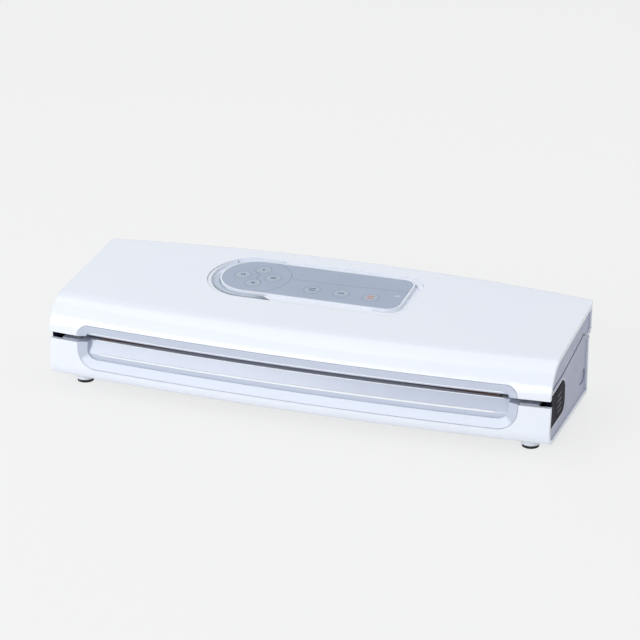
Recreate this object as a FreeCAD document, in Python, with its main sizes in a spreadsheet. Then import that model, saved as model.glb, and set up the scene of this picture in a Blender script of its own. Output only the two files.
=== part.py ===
import FreeCAD, Part
import Sketcher
import math
import os

# Vacuum sealer: +X right, +Y to the back, +Z up, origin on the table under the middle.
doc = FreeCAD.newDocument("VacuumSealer")
sheet = doc.addObject("Spreadsheet::Sheet", "Sizes")
V = FreeCAD.Vector


class Size:
    """A length with its formula, so that one value drives both a sketch and its expression."""

    def __init__(self, text, value):
        self.text = text
        self.value = value

    def __add__(self, other):
        other = size(other)
        return Size(f"({self.text} + {other.text})", self.value + other.value)

    def __sub__(self, other):
        other = size(other)
        return Size(f"({self.text} - {other.text})", self.value - other.value)

    def __mul__(self, other):
        other = size(other)
        return Size(f"({self.text} * {other.text})", self.value * other.value)

    def __truediv__(self, other):
        other = size(other)
        return Size(f"({self.text} / {other.text})", self.value / other.value)

    def __neg__(self):
        return Size(f"(0 - {self.text})", -self.value)

    def __radd__(self, other):
        return size(other) + self

    def __rsub__(self, other):
        return size(other) - self

    def __rmul__(self, other):
        return size(other) * self


def size(number):
    return number if isinstance(number, Size) else Size(f"({number})", number)


def cell(alias, number):
    row = cell.row = getattr(cell, "row", 0) + 1
    sheet.set(f"A{row}", alias)
    sheet.set(f"B{row}", str(number))
    sheet.setAlias(f"B{row}", alias)
    return Size(f"Sizes.{alias}", number)


def root(a):
    return Size(f"sqrt({a.text})", math.sqrt(a.value))


def least(a, b):
    return Size(f"min({a.text}; {b.text})", min(a.value, b.value))


# Overall
length = cell("length", 390)
depth = cell("depth", 150)
wall = cell("wall", 3)
fit = cell("fit", 0.15)
run = cell("run", 0.05)
frontBow = cell("front_bow_radius", 2240)
rearBow = cell("rear_bow_radius", 1566)
cornerRadius = cell("rear_corner_radius", 18)
# Heights
footHeight = cell("foot_height", 2.4)
bossHeight = cell("foot_boss_height", 6.6)
baseEdge = cell("base_front_edge_z", 39.6)
baseRear = cell("base_rear_edge_z", 52.7)
lidLip = cell("lid_lip_z", 45.5)
lidRear = cell("lid_rear_bottom_z", 56.2)
# Section shape
baseLean = cell("base_front_lean", 3.5)
baseBulge = cell("base_front_bulge", 1.298)
baseRound = cell("base_bottom_round", 11)
baseBackStep = cell("base_back_step", 6)
lidLean = cell("lid_front_lean", 3.9)
lidCorner = cell("lid_front_corner_z", 68.06)
lidRise = cell("lid_top_rise", 0.092)
lidRound = cell("lid_front_round", 28)
rollRound = cell("lid_rear_round", 10.8)
splitGap = cell("split_gap", 1.8)
splitFront = cell("split_front_z", 50)
splitPeakY = cell("split_peak_y", 28.4)
splitPeakZ = cell("split_peak_z", 59.6)
endInset = cell("end_panel_inset", 1)
endThick = cell("end_panel_thickness", 3.2)
endLap = cell("end_opening_lap", 1.188)
creaseY = cell("end_crease_y", 2)
creaseDrop = cell("end_crease_drop", 1.6)
# Front recess
recessMargin = cell("recess_end_margin", 23.5)
recessBottom = cell("recess_bottom_z", 20.2)
recessTop = cell("recess_top_z", 54.1)
recessRound = cell("recess_bottom_round", 15)
recessTopRound = cell("recess_top_round", 9)
ringWide = cell("ring_width", 7)
ringLand = cell("ring_land", 0.6)
ringDeep = cell("ring_depth", 2.4)
ridgeZ = cell("trough_ridge_z", 31.2)
ridgeBack = cell("trough_ridge_setback", 5)
deckFront = cell("deck_front_setback", 10.5)
troughLip = cell("trough_lip", 1.2)
deckZ = cell("deck_z", 40.4)
deckThick = cell("deck_thickness", 2.5)
# Hinge
hingeBack = cell("hinge_setback", 13)
hingeZ = cell("hinge_axis_z", 67.8)
hingeX = cell("hinge_x", 110)
hingeWide = cell("hinge_post_width", 10)
pinRadius = cell("hinge_pin_radius", 2)
barrel = cell("hinge_barrel_radius", 5)

zFloor = footHeight + bossHeight
half = length / 2
yFront = -depth / 2
yBack = depth / 2
yBaseBack = yBack - baseBackStep
hingeY = yBack - hingeBack
axisY = yFront + frontBow
topAtZero = lidCorner - (yFront + lidLean + 0.4) * lidRise
shelfLap = cell("rear_shelf_lap", 6)
shelfY = yBack - hingeBack * 2 - shelfLap
recessHalf = half - recessMargin
far = size(120)
doc.recompute()


def plane(body, role):
    return [f for f in body.Origin.OriginFeatures if f.Role == role][0]


def fix(sketch, geo, pos, x, y):
    for kind, amount, axis in (("DistanceX", x, -2), ("DistanceY", y, -1)):
        if amount.value == 0:
            sketch.addConstraint(Sketcher.Constraint("PointOnObject", geo, pos, axis))
            continue
        index = sketch.addConstraint(Sketcher.Constraint(kind, -1, 1, geo, pos, amount.value))
        sketch.setExpression(f"Constraints[{index}]", amount.text)


def outline(body, name, role, corners, bow=None, arc=None):
    """A closed outline of straight sides; bow draws the far vertical axis, arc bends one side to a radius."""
    sketch = body.newObject("Sketcher::SketchObject", name)
    sketch.AttachmentSupport = (plane(body, role), [""])
    sketch.MapMode = "FlatFace"
    points = [(size(x), size(y)) for x, y in corners]
    count = len(points)
    for i in range(count):
        a = V(points[i][0].value, points[i][1].value, 0)
        b = V(points[(i + 1) % count][0].value, points[(i + 1) % count][1].value, 0)
        if arc and arc[0] == i:
            reach = math.sqrt(arc[1].value ** 2 - ((b - a).Length / 2) ** 2)
            centre = (a + b) / 2 - V(0, reach, 0)
            middle = centre + V(0, arc[1].value, 0)
            sketch.addGeometry(Part.Arc(a, middle, b), False)
        else:
            sketch.addGeometry(Part.LineSegment(a, b), False)
    arcFlips = arc is not None and points[arc[0]][0].value > points[(arc[0] + 1) % count][0].value
    for i in range(count):
        j = (i + 1) % count
        flipsHere = arc and arc[0] == i and not arcFlips
        flipsNext = arc and arc[0] == j and not arcFlips
        ends = (1 if flipsHere else 2, 2 if flipsNext else 1)
        sketch.addConstraint(Sketcher.Constraint("Coincident", i, ends[0], j, ends[1]))
    for i in range(count):
        pos = 2 if arc and arc[0] == i and not arcFlips else 1
        fix(sketch, i, pos, *points[i])
    if arc:
        index = sketch.addConstraint(Sketcher.Constraint("Radius", arc[0], arc[1].value))
        sketch.setExpression(f"Constraints[{index}]", arc[1].text)
    if bow:
        line = Part.LineSegment(V(bow.value, 0, 0), V(bow.value, 50, 0))
        index = sketch.addGeometry(line, True)
        fix(sketch, index, 1, bow, size(0))
        fix(sketch, index, 2, bow, size(50))
    sketch.recompute()
    return sketch


def newBody(label):
    body = doc.addObject("PartDesign::Body", label)
    body.Label = label
    return body


def bind(obj, prop, amount):
    obj.setExpression(prop, size(amount).text)


def pad(body, sketch, tall, both=False, flip=False, cut=False):
    kind = "Pocket" if cut else "Pad"
    before = body.Shape.Volume if cut else 0
    feature = body.newObject(f"PartDesign::{kind}", f"{sketch.Name}{kind}")
    feature.Profile = sketch
    bind(feature, "Length", tall)
    feature.Midplane = both
    feature.Reversed = flip
    body.recompute(True)
    if cut and not body.Shape.Volume < before:
        raise RuntimeError(f"{sketch.Name} cuts nothing")
    return feature


def turn(body, sketch, angle, cut=False):
    kind = "Groove" if cut else "Revolution"
    before = body.Shape.Volume if cut else 0
    feature = body.newObject(f"PartDesign::{kind}", f"{sketch.Name}{kind}")
    feature.Profile = sketch
    feature.ReferenceAxis = (sketch, ["Axis0"])
    bind(feature, "Angle", angle)
    feature.Midplane = True
    body.recompute(True)
    if cut and not body.Shape.Volume < before:
        raise RuntimeError(f"{sketch.Name} cuts nothing")
    return feature


def soften(body, name, radius, chosen, size2=None):
    """Round, or with a second size bevel, the edges that chosen picks."""
    base = body.Tip
    names = [f"Edge{i + 1}" for i, e in enumerate(base.Shape.Edges) if chosen(e)]
    if not names:
        raise RuntimeError(f"no edge for {name}")
    kind = "Chamfer" if size2 else "Fillet"
    feature = body.newObject(f"PartDesign::{kind}", name)
    feature.Base = (base, names)
    if size2:
        feature.ChamferType = "Two distances"
        bind(feature, "Size", radius)
        bind(feature, "Size2", size2)
    else:
        bind(feature, "Radius", radius)
    body.recompute(True)
    return feature


def middle(edge):
    return edge.valueAt((edge.FirstParameter + edge.LastParameter) / 2)


def upright(edge):
    a = edge.Vertexes[0].Point
    b = edge.Vertexes[-1].Point
    return abs(a.x - b.x) < 0.01 and abs(a.y - b.y) < 0.01 and abs(a.z - b.z) > 0.1


def place(obj, x=0, y=0, z=0):
    for letter, amount in zip("xyz", (x, y, z)):
        bind(obj, f"Placement.Base.{letter}", amount)
    return obj


def box(name, x, y, z, wide, deep, tall):
    """A block centred on x and y that stands on z."""
    block = doc.addObject("Part::Box", name)
    bind(block, "Length", wide)
    bind(block, "Width", deep)
    bind(block, "Height", tall)
    return place(block, size(x) - size(wide) / 2, size(y) - size(deep) / 2, z)


def rod(name, x, y, z, radius, tall, axis=V(0, 0, 1)):
    bar = doc.addObject("Part::Cylinder", name)
    bind(bar, "Radius", radius)
    bind(bar, "Height", tall)
    bar.Placement = FreeCAD.Placement(V(), FreeCAD.Rotation(V(0, 0, 1), axis))
    return place(bar, x, y, z)


def fuse(name, *shapes):
    joined = doc.addObject("Part::MultiFuse", name)
    joined.Shapes = list(shapes)
    return joined


def cut(name, base, *tools):
    result = doc.addObject("Part::Cut", name)
    result.Base = base
    result.Tool = tools[0] if len(tools) == 1 else fuse(f"{name}Tools", *tools)
    return result


def common(name, base, tool):
    result = doc.addObject("Part::Common", name)
    result.Base = base
    result.Tool = tool
    return result


def group(name, solids):
    bundle = doc.addObject("Part::Compound", name)
    bundle.Links = list(solids)
    return bundle


nodes = []


def node(label, obj):
    obj.Label = label
    nodes.append(obj)
    return obj


def yBow(y, radius, x):
    """Where a bowed face whose middle is at y stands at side distance x."""
    return y - radius + root(radius * radius - x * x)


sweep = size(12)
overrun = cell("block_overrun", 10)
rearEdge = yBow(yBack, rearBow, half)
rearLapY = rearEdge - cornerRadius + endLap


def plan(name, inset, back, zLow, reach, stepY=None):
    """A tall block with the housing's plan; with stepY its rear end is narrower, behind the end openings."""
    body = newBody(name)
    radius = rearBow - inset
    side = half - inset if stepY else reach
    edge = yBow(back - inset, radius, side)
    corners = [(-side, edge), (side, edge)]
    if stepY:
        corners += [(side, stepY), (reach, stepY), (reach, -far)]
        corners += [(-reach, -far), (-reach, stepY), (-side, stepY)]
    else:
        corners += [(side, -far), (-side, -far)]
    sketch = outline(body, f"{name}Plan", "XY_Plane", corners, arc=(0, radius))
    bind(sketch, "AttachmentOffset.Base.z", zLow)
    pad(body, sketch, far)
    return body, edge.value


def rounded(name, inset, back, zLow, stepY):
    """The same plan with its rear corners rounded."""
    reach = half + overrun if stepY else half
    body, edge = plan(name, inset, back, zLow, reach, stepY)
    soften(body, f"{name}Corners", cornerRadius - inset,
           lambda e: upright(e) and abs(middle(e).y - edge) < 0.1)
    return body


def lidTop(y, inset):
    return topAtZero + size(y) * lidRise - inset * root(1 + lidRise * lidRise)


def lidFront(inset):
    """The space in front of and above the lid, pulled in by inset."""
    lean = lidLean / (lidCorner - lidLip)
    slant = root(1 + lean * lean) * inset
    yLip = yFront + 0.4 + slant
    low = -size(10)
    yLow = yLip + lean * (low - lidLip)
    yCorner = (yLip - lean * lidLip + lean * lidTop(0, inset)) / (1 - lean * lidRise)
    zCorner = lidTop(yCorner, inset)
    return [(-far * 2, low), (yLow, low), (yCorner, zCorner), (far, lidTop(far, inset)),
            (far, far * 3), (-far * 2, far * 3)], yCorner, zCorner


def baseFront(inset):
    """The space in front of the base, pulled in by inset."""
    lean = baseLean / (baseEdge - zFloor)
    y0 = yFront - baseBulge + inset
    return [(-far * 2, -size(10)), (y0 - lean * (zFloor + 10), -size(10)),
            (y0 + lean * (far * 2 - zFloor), far * 2), (-far * 2, far * 2)], y0


def longEdge(y, z, slack=6):
    """Picks the long crosswise edge whose middle lies near y and z."""
    def chosen(e):
        p = middle(e)
        return e.Length > 100 and abs(p.x) < 5 and abs(p.y - y) < slack and abs(p.z - z) < slack
    return chosen


rearHeight = lidTop(yBow(yBack, rearBow, half + overrun), size(0)) - lidRear
roll = least(rollRound, rearHeight / 2.2)


def lidBlock(name, inset, zLow, stepY):
    curve, yCorner, zCorner = lidFront(inset)
    body = plan(f"{name}Block", inset, yBack, zLow, half + overrun)[0]
    turn(body, outline(body, f"{name}Front", "YZ_Plane", curve, bow=axisY), sweep, cut=True)
    soften(body, f"{name}Brow", lidRound - inset, longEdge(yCorner.value, zCorner.value))
    under = lidRear + inset
    shelf = [(shelfY, under), (far, under), (far, -size(10)), (shelfY, -size(10))]
    pad(body, outline(body, f"{name}Under", "YZ_Plane", shelf), length * 2, both=True, cut=True)
    back = (yBack - inset).value
    soften(body, f"{name}RollTop", roll - inset, longEdge(back, lidTop(yBack, inset).value, 4))
    soften(body, f"{name}RollLow", roll - inset, longEdge(back, under.value, 4))
    return common(name, body, rounded(f"{name}Ends", inset, yBack, zLow, stepY))


def baseBlock(name, inset, zLow, stepY):
    curve, y0 = baseFront(inset)
    body = plan(f"{name}Block", inset, yBaseBack, zLow, half + overrun)[0]
    turn(body, outline(body, f"{name}Front", "YZ_Plane", curve, bow=axisY), sweep, cut=True)
    soften(body, f"{name}Keel", baseRound - inset, longEdge(y0.value, zLow.value, 4))
    soften(body, f"{name}Heel", baseRound - inset, longEdge((yBaseBack - inset).value, zLow.value, 4))
    return common(name, body, rounded(f"{name}Ends", inset, yBaseBack, zLow, stepY))


lidOuter = lidBlock("lidOuter", size(0), lidLip, None)
lidInner = lidBlock("lidInner", wall, lidLip - 10, rearLapY)
lidFit = lidBlock("lidFit", wall + fit, lidLip - 10, rearLapY - fit)
baseOuter = baseBlock("baseOuter", size(0), zFloor, None)
baseInner = baseBlock("baseInner", wall, zFloor + wall, rearLapY - baseBackStep)
baseFit = baseBlock("baseFit", wall + fit, zFloor + wall + fit, rearLapY - baseBackStep - fit)


def prism(name, corners, low, high, round_=None, roundZ=None):
    """A block seen from the front, between two depths, with two corners rounded."""
    body = newBody(name)
    sketch = outline(body, f"{name}Face", "XZ_Plane", corners)
    bind(sketch, "AttachmentOffset.Base.z", -size(high))
    pad(body, sketch, size(high) - size(low))
    if round_:
        soften(body, f"{name}Round", round_, lambda e: abs(middle(e).z - roundZ.value) < 0.01
               and abs(e.Vertexes[0].Point.y - e.Vertexes[-1].Point.y) > 1)
    return body


def slab(name, corners, x, thick):
    """A section outline carried along X from x."""
    body = newBody(name)
    sketch = outline(body, f"{name}Section", "YZ_Plane", corners)
    bind(sketch, "AttachmentOffset.Base.z", x)
    pad(body, sketch, thick)
    return body


def frontPrism(name, grow, top, low, roundLow, roundHigh, back):
    side = recessHalf + grow
    corners = [(-side, low - grow), (side, low - grow), (side, top + grow), (-side, top + grow)]
    if roundLow:
        return prism(name, corners, -far * 1.5, back, roundLow + grow, low - grow)
    return prism(name, corners, -far * 1.5, back, roundHigh + grow, top + grow)


def arcAngle(x, y):
    """The angle about the bow axis that reaches x to each side on a face at y."""
    reach = axisY - y
    value = 2 * math.degrees(math.asin(x.value / reach.value))
    return Size(f"(2 * asin({x.text} / {reach.text}))", value)


# Base shell: floor, bowed front and back walls, foot bosses
footX = half - cell("foot_end_margin", 19)
footFrontY = yFront + cell("foot_front_margin", 30)
footRearY = yBack - cell("foot_rear_margin", 37)
footRadius = cell("foot_radius", 6.3)
bossRadius = cell("foot_boss_radius", 7)
inletX = cell("inlet_x", -120)
inletZ = cell("inlet_z", 28)
inletWide = cell("inlet_width", 24)
inletTall = cell("inlet_height", 14)
topCut = slab("baseTop", [(-far * 2, baseEdge), (0, baseEdge), (0, baseRear), (far * 2, baseRear),
                          (far * 2, far * 3), (-far * 2, far * 3)], -length, length * 2)
baseRecess = frontPrism("baseRecess", size(0), far, recessBottom, recessRound, None, yFront + 30)
inletHole = box("inletHole", inletX, yBaseBack, inletZ - inletTall / 2, inletWide, 40, inletTall)
bareBase = cut("bareBase", baseOuter, baseInner, topCut, baseRecess, inletHole)
footSpots = [(sx * footX, y) for sx in (-1, 1) for y in (footFrontY, footRearY)]
bosses = [rod(f"footBoss{i}", x, y, footHeight, bossRadius, bossHeight + 1)
          for i, (x, y) in enumerate(footSpots)]
node("base_shell", fuse("base_shell", bareBase, *bosses))
feet = [rod(f"foot{i}", x, y, 0, footRadius, footHeight) for i, (x, y) in enumerate(footSpots)]
node("feet", group("feet", feet))

# Front trough of the base: bevelled ring, ridge and slope up to the deck
troughBack = yFront + deckFront + troughLip
ringSide = recessHalf - ringWide
ringLow = recessBottom + ringWide
baseCurve, baseY0 = baseFront(size(0))
baseLeanRate = baseLean / (baseEdge - zFloor)


def baseFace(z):
    return baseY0 + baseLeanRate * (z - zFloor)


def behind(body, name, y):
    """Cuts away what lies behind a bowed face at y."""
    space = [(y, -size(20)), (far * 2, -size(20)), (far * 2, far * 3), (y, far * 3)]
    turn(body, outline(body, name, "YZ_Plane", space, bow=axisY), sweep, cut=True)


def troughBlank(name, grow):
    body = frontPrism(name, grow - fit, deckZ, recessBottom, recessRound, None, yFront + 40)
    behind(body, f"{name}Back", troughBack + grow)
    return body


trough = troughBlank("front_trough", size(0))
turn(trough, outline(trough, "troughFlush", "YZ_Plane", baseCurve, bow=axisY), sweep, cut=True)
bed = [(-far * 2, ringLow), (baseFace(ringLow) + 4, ringLow), (yFront + ridgeBack, ridgeZ),
       (yFront + deckFront, deckZ), (yFront + deckFront, far), (-far * 2, far)]
turn(trough, outline(trough, "troughBed", "YZ_Plane", bed, bow=axisY), arcAngle(ringSide, yFront), cut=True)
soften(trough, "troughCorners", recessRound - ringWide,
       lambda e: abs(abs(middle(e).x) - ringSide.value) < 2 and abs(middle(e).z - ringLow.value) < 0.05)


def onFront(e):
    p = middle(e)
    y = axisY.value - math.sqrt((axisY.value - baseFace(size(p.z)).value) ** 2 - p.x ** 2)
    inside = abs(p.x) < ringSide.value + 1 and ringLow.value - 0.1 < p.z < deckZ.value - 0.3
    return inside and abs(p.y - y) < 0.2


soften(trough, "troughBevel", ringWide - ringLand, onFront, ringDeep)
ridgeRound = cell("trough_ridge_round", 1.5)
soften(trough, "troughRidge", ridgeRound, longEdge((yFront + ridgeBack).value, ridgeZ.value, 1))
node("front_trough", trough)

# Deck with the vacuum chamber
chamberHalf = half - cell("chamber_end_margin", 45)
chamberFront = yFront + cell("chamber_front_margin", 33)
chamberDeep = cell("chamber_depth", 10)
chamberLong = cell("chamber_length", 28)
rearDeckZ = cell("rear_deck_z", 50)
rearDeckGap = cell("rear_deck_setback", 20)
chamberRound = cell("chamber_round", 8)
hookX = half - cell("hook_end_margin", 18)
hookY = yFront + cell("hook_front_margin", 23)
barY = yFront + cell("seal_bar_front_margin", 22.3)
barWide = cell("seal_bar_width", 8)
barHalf = chamberHalf + cell("seal_bar_overhang", 6)
barSink = cell("seal_bar_sink", 1.5)
panelIn = half - endInset - endThick
deckHalf = panelIn - fit * 2
chamberBack = chamberFront + chamberLong
rearDeckY = chamberBack + rearDeckGap
deckUnder = deckZ - deckThick
deckSection = [(-far, deckZ), (rearDeckY - 8, deckZ), (rearDeckY, rearDeckZ), (far, rearDeckZ),
               (far, rearDeckZ - deckThick), (rearDeckY + 1, rearDeckZ - deckThick),
               (rearDeckY - 7, deckUnder), (-far, deckUnder)]
deckPlate = slab("deckPlate", deckSection, -deckHalf, deckHalf * 2)
chamberMid = (chamberFront + chamberBack) / 2


def tub(name, grow, low, high):
    """A block with rounded upright corners round the chamber."""
    body = newBody(name)
    side = chamberHalf + grow
    front = chamberFront - grow
    back = chamberBack + grow
    corners = [(-side, front), (side, front), (side, back), (-side, back)]
    sketch = outline(body, f"{name}Plan", "XY_Plane", corners)
    bind(sketch, "AttachmentOffset.Base.z", low)
    pad(body, sketch, high - low)
    soften(body, f"{name}Round", chamberRound + grow, upright)
    return body


tubOut = tub("chamberWall", deckThick, deckZ - chamberDeep - deckThick, deckZ)
tubIn = tub("chamberHollow", size(0), deckZ - chamberDeep, deckZ + 20)
hookSlots = [box(f"hookSlot{s}", s * hookX, hookY, deckZ - 10, 9, 9, 20) for s in (-1, 1)]
barSlot = box("barSlot", 0, barY, deckZ - barSink, barHalf * 2 + fit * 2, barWide + fit * 2, 20)
nozzleX = cell("nozzle_x", 60)
nozzleHole = rod("nozzleHole", nozzleX, chamberMid, 0, 4.1, deckZ)
troughRoom = troughBlank("troughRoom", fit * 2)
deckBody = common("deckTrim", fuse("deckSolid", deckPlate, tubOut), baseFit)
deckCuts = [tubIn, *hookSlots, barSlot, nozzleHole, troughRoom]
deck = node("base_deck", cut("base_deck", deckBody, *deckCuts))

# Seal bar, heating strip and release tape
barTall = cell("seal_bar_height", 4)
stripThick = cell("heating_strip_thickness", 0.3)
tapeThick = cell("tape_thickness", 0.3)
barLow = deckZ - barSink
node("seal_bar", box("seal_bar", 0, barY, barLow, barHalf * 2, barWide, barTall))
node("heating_strip", box("heating_strip", 0, barY, barLow + barTall, barHalf * 2, 3, stripThick))
tapeZ = barLow + barTall + stripThick
tapeTop = box("tapeTop", 0, barY, tapeZ, barHalf * 2, barWide, tapeThick)
skirtLow = deckZ + fit
skirtY = barY - barWide / 2 - tapeThick / 2
tapeFront = box("tapeFront", 0, skirtY, skirtLow, barHalf * 2, tapeThick, tapeZ + tapeThick - skirtLow)
node("ptfe_tape", fuse("ptfe_tape", tapeTop, tapeFront))


def ring(name, inset, thick, low, tall):
    """A foam ring round the chamber."""
    outer = tub(f"{name}Outer", inset + thick, low, low + tall)
    inner = tub(f"{name}Inner", inset, low - 1, low + tall + 1)
    return node(name, cut(name, outer, inner))


gasketWide = cell("gasket_width", 5)
gasketGap = cell("gasket_gap", 0.4)
gasketTall = cell("gasket_height", 5.6)
linerZ = cell("liner_z", 51.2)
gasketInset = cell("gasket_inset", 0.8)
ring("lower_gasket", gasketInset, gasketWide, deckZ, gasketTall)
upperLow = deckZ + gasketTall + gasketGap
ring("upper_gasket", gasketInset, gasketWide, upperLow, linerZ - upperLow)

# End panels
splitBase = [(-far, splitFront), (-55, splitFront), (-27.4, splitFront + 1.4), (0, splitFront + 5.4),
             (splitPeakY, splitPeakZ), (rearLapY + 4.4, baseRear), (far, baseRear)]
button0 = cell("button_low_z", 22.4)
button1 = cell("button_top_z", 47)
buttonRear = yFront + cell("button_length", 51.5)
buttonGap = cell("button_gap", 0.4)
buttonRound = cell("button_round", 8)
travel = cell("button_travel", 4)
plugLong = cell("plug_length", 16)
plugTall = cell("plug_height", 10)
plugZ = cell("plug_z", 26)
plugGap = cell("plug_gap", 0.35)
plugY = rearLapY - baseBackStep - plugLong / 2 - 2


def crease(name, side):
    """Slants the outer face inwards behind a leaning crease."""
    body = newBody(name)
    rate = 0.3
    x0 = side * (half - endInset)
    deep = side * (half - endInset - creaseDrop)
    over = side * (half + 5)
    corners = [(x0, creaseY), (deep, far), (over, far), (over, creaseY)]
    if side < 0:
        corners.reverse()
    sketch = outline(body, f"{name}Plan", "XY_Plane", corners)
    feature = pad(body, sketch, far)
    feature.UseCustomVector = True
    feature.Direction = V(0, rate, 1)
    feature.AlongSketchNormal = True
    body.recompute(True)
    return body


def endPanel(name, side, profile, space, extra):
    x = panelIn if side > 0 else -panelIn - endThick
    plate = slab(f"{name}Plate", profile, x, endThick)
    shaped = common(f"{name}Shape", plate, space)
    return node(name, cut(name, shaped, crease(f"{name}Crease", side), *extra))


def buttonShape(name, grow, x, thick, front):
    """The button's outline, with rounded rear corners, between two places on X."""
    corners = [(front, button0 - grow), (buttonRear + grow, button0 - grow),
               (buttonRear + grow, button1 + 1 + grow), (front, button1 - 1 + grow)]
    body = slab(name, corners, x, thick)
    soften(body, f"{name}Round", buttonRound + grow, lambda e: middle(e).y > (buttonRear + grow).value - 0.5
           and abs(e.Vertexes[0].Point.x - e.Vertexes[-1].Point.x) > 0.5)
    return body


def plugShape(name, grow, x, thick):
    """The screw plug's long oval, between two places on X."""
    y = plugLong / 2 + grow
    z = plugTall / 2 + grow
    corners = [(plugY - y, plugZ - z), (plugY + y, plugZ - z), (plugY + y, plugZ + z), (plugY - y, plugZ + z)]
    body = slab(name, corners, x, thick)
    soften(body, f"{name}Round", z - 0.1, lambda e: abs(e.Vertexes[0].Point.x - e.Vertexes[-1].Point.x) > 0.5)
    return body


ends = (("left", -1), ("right", 1))
lidSplit = [(y, z + splitGap) for y, z in ((size(a), size(b)) for a, b in splitBase)]
lidSplit[-2] = (rearLapY, lidRear + 0.6)
lidSplit[-1] = (far, lidRear + 0.6)
plugs = []
faceX = half - endInset
for word, side in ends:
    x = panelIn - 1 if side > 0 else -panelIn - endThick - 1
    notch = buttonShape(f"buttonNotch_{word}", buttonGap, x, endThick + 2, -far)
    plugHole = plugShape(f"plugHole_{word}", plugGap, x, endThick + 2)
    profile = splitBase + [(far, 0), (-far, 0)]
    endPanel(f"base_end_panel_{word}", side, profile, baseFit, [notch, plugHole])
    plugX = panelIn if side > 0 else -panelIn - endThick + creaseDrop - 0.4
    plugs.append(plugShape(f"plug_{word}", size(0), plugX, endThick - creaseDrop + 0.4))
    high = lidSplit + [(far, far), (-far, far)]
    endPanel(f"lid_end_panel_{word}", side, high, lidFit, [])
node("end_screw_plugs", group("end_screw_plugs", plugs))

# Release buttons with a retaining flange and a catch under the deck
flangeThick = cell("button_flange", 2.6)
catchReach = cell("catch_reach", 7)
seatX = panelIn - cell("spring_seat_margin", 19.8)
springY = yFront + cell("button_spring_margin", 31)
springZ = cell("button_spring_z", 28)
springRadius = cell("button_spring_radius", 4)
buttonFront = -yBow(-baseFace(size(35)), frontBow, half) + wall + 1.2
flangeX = panelIn - 0.4 - flangeThick
deckRooms = []
seats = []
for word, side in ends:
    def out(x, thick):
        return x if side > 0 else -x - thick
    faceThick = faceX - panelIn + 0.4 + 0.6
    skinX = out(panelIn - 0.4, faceThick)
    skin = buttonShape(f"buttonFace_{word}", size(0), skinX, faceThick, buttonFront)
    flange = box(f"buttonFlange_{word}", side * (flangeX + flangeThick / 2), (buttonFront + buttonRear) / 2,
                 button0 - 1.2, flangeThick, buttonRear - buttonFront + 2.4, deckUnder - 1 - button0)
    catch = box(f"buttonCatch_{word}", side * (flangeX - catchReach / 2), hookY, deckUnder - 5,
                catchReach, 8, 3.4)
    node(f"release_button_{word}", fuse(f"release_button_{word}", skin, flange, catch))
    roomHalf = half - 2 - panelIn + travel + 1
    room = box(f"buttonRoom_{word}", side * (half - 2), buttonRear - 40, 0, roomHalf * 2, 84, far)
    deckRooms.append(room)
    seat = box(f"springSeat_{word}", side * seatX, springY, zFloor + wall, 4, 14, springZ + 8 - zFloor - wall)
    seats.append(seat)
    coilLong = flangeX - seatX - 2
    coilX = out(seatX + 2, coilLong)
    coil = rod(f"springCoil_{word}", coilX, springY, springZ, springRadius, coilLong, V(1, 0, 0))
    core = rod(f"springCore_{word}", coilX, springY, springZ, springRadius - 1, coilLong, V(1, 0, 0))
    node(f"button_spring_{word}", cut(f"button_spring_{word}", coil, core))
node("spring_seats", group("spring_seats", seats))
deck.Tool.Shapes = deck.Tool.Shapes + deckRooms

# Lid shell, front trim and liner
slope = Size(f"atan({lidRise.text})", math.degrees(math.atan(lidRise.value)))
panelLeft = cell("panel_left_x", -88)
panelRight = cell("panel_right_x", 61)
panelFront = yFront + cell("panel_front_margin", 68)
panelBack = panelFront + cell("panel_depth", 53)
panelRound = cell("panel_right_round", 11)
moatLeft = cell("moat_left", 9.5)
moatRight = cell("moat_right", 7)
moatFront = cell("moat_front", 9)
moatBack = cell("moat_back", 5)
moatStep = cell("moat_step", 1.2)
moatDeep = cell("moat_depth", 3.6)
trayDeep = cell("tray_depth", 5.6)
overlayThick = cell("overlay_thickness", 0.6)
overlayRim = cell("overlay_rim", 1.4)


def tilted(name, left, right, front, back, low, high, roundLeft, roundRight):
    """A rounded block in the plane of the lid's top."""
    body = newBody(name)
    corners = [(left, front), (right, front), (right, back), (left, back)]
    sketch = outline(body, f"{name}Plan", "XY_Plane", corners)
    bind(sketch, "AttachmentOffset.Base.z", low)
    pad(body, sketch, size(high) - size(low))
    soften(body, f"{name}Left", roundLeft, lambda e: upright(e) and abs(middle(e).x - left.value) < 0.1)
    soften(body, f"{name}Right", roundRight, lambda e: upright(e) and abs(middle(e).x - right.value) < 0.1)
    return tip(body)


def tip(obj):
    obj.Placement = FreeCAD.Placement(V(), FreeCAD.Rotation(V(1, 0, 0), slope.value))
    bind(obj, "Placement.Base.z", topAtZero)
    bind(obj, "Placement.Rotation.Angle", slope)
    return obj


def tilt(name, x, y, low, high, radius):
    """A round piece square to the lid's top."""
    body = newBody(name)
    sketch = body.newObject("Sketcher::SketchObject", f"{name}Plan")
    sketch.AttachmentSupport = (plane(body, "XY_Plane"), [""])
    sketch.MapMode = "FlatFace"
    sketch.addGeometry(Part.Circle(V(size(x).value, size(y).value, 0), V(0, 0, 1), size(radius).value), False)
    fix(sketch, 0, 3, size(x), size(y))
    index = sketch.addConstraint(Sketcher.Constraint("Radius", 0, size(radius).value))
    sketch.setExpression(f"Constraints[{index}]", size(radius).text)
    bind(sketch, "AttachmentOffset.Base.z", low)
    pad(body, sketch, size(high) - size(low))
    return tip(body)


def moat(name, grow, low, high):
    front = panelFront - moatFront - grow
    back = panelBack + moatBack + grow
    return tilted(name, panelLeft - moatLeft - grow, panelRight + moatRight + grow, front, back, low, high,
                  (back - front) / 2 - 0.2, panelRound + 7 + grow)


def plate(name, inset, low, high):
    front = panelFront + inset
    back = panelBack - inset
    return tilted(name, panelLeft + inset, panelRight - inset, front, back, low, high,
                  (back - front) / 2 - 0.2, panelRound - inset)


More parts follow.
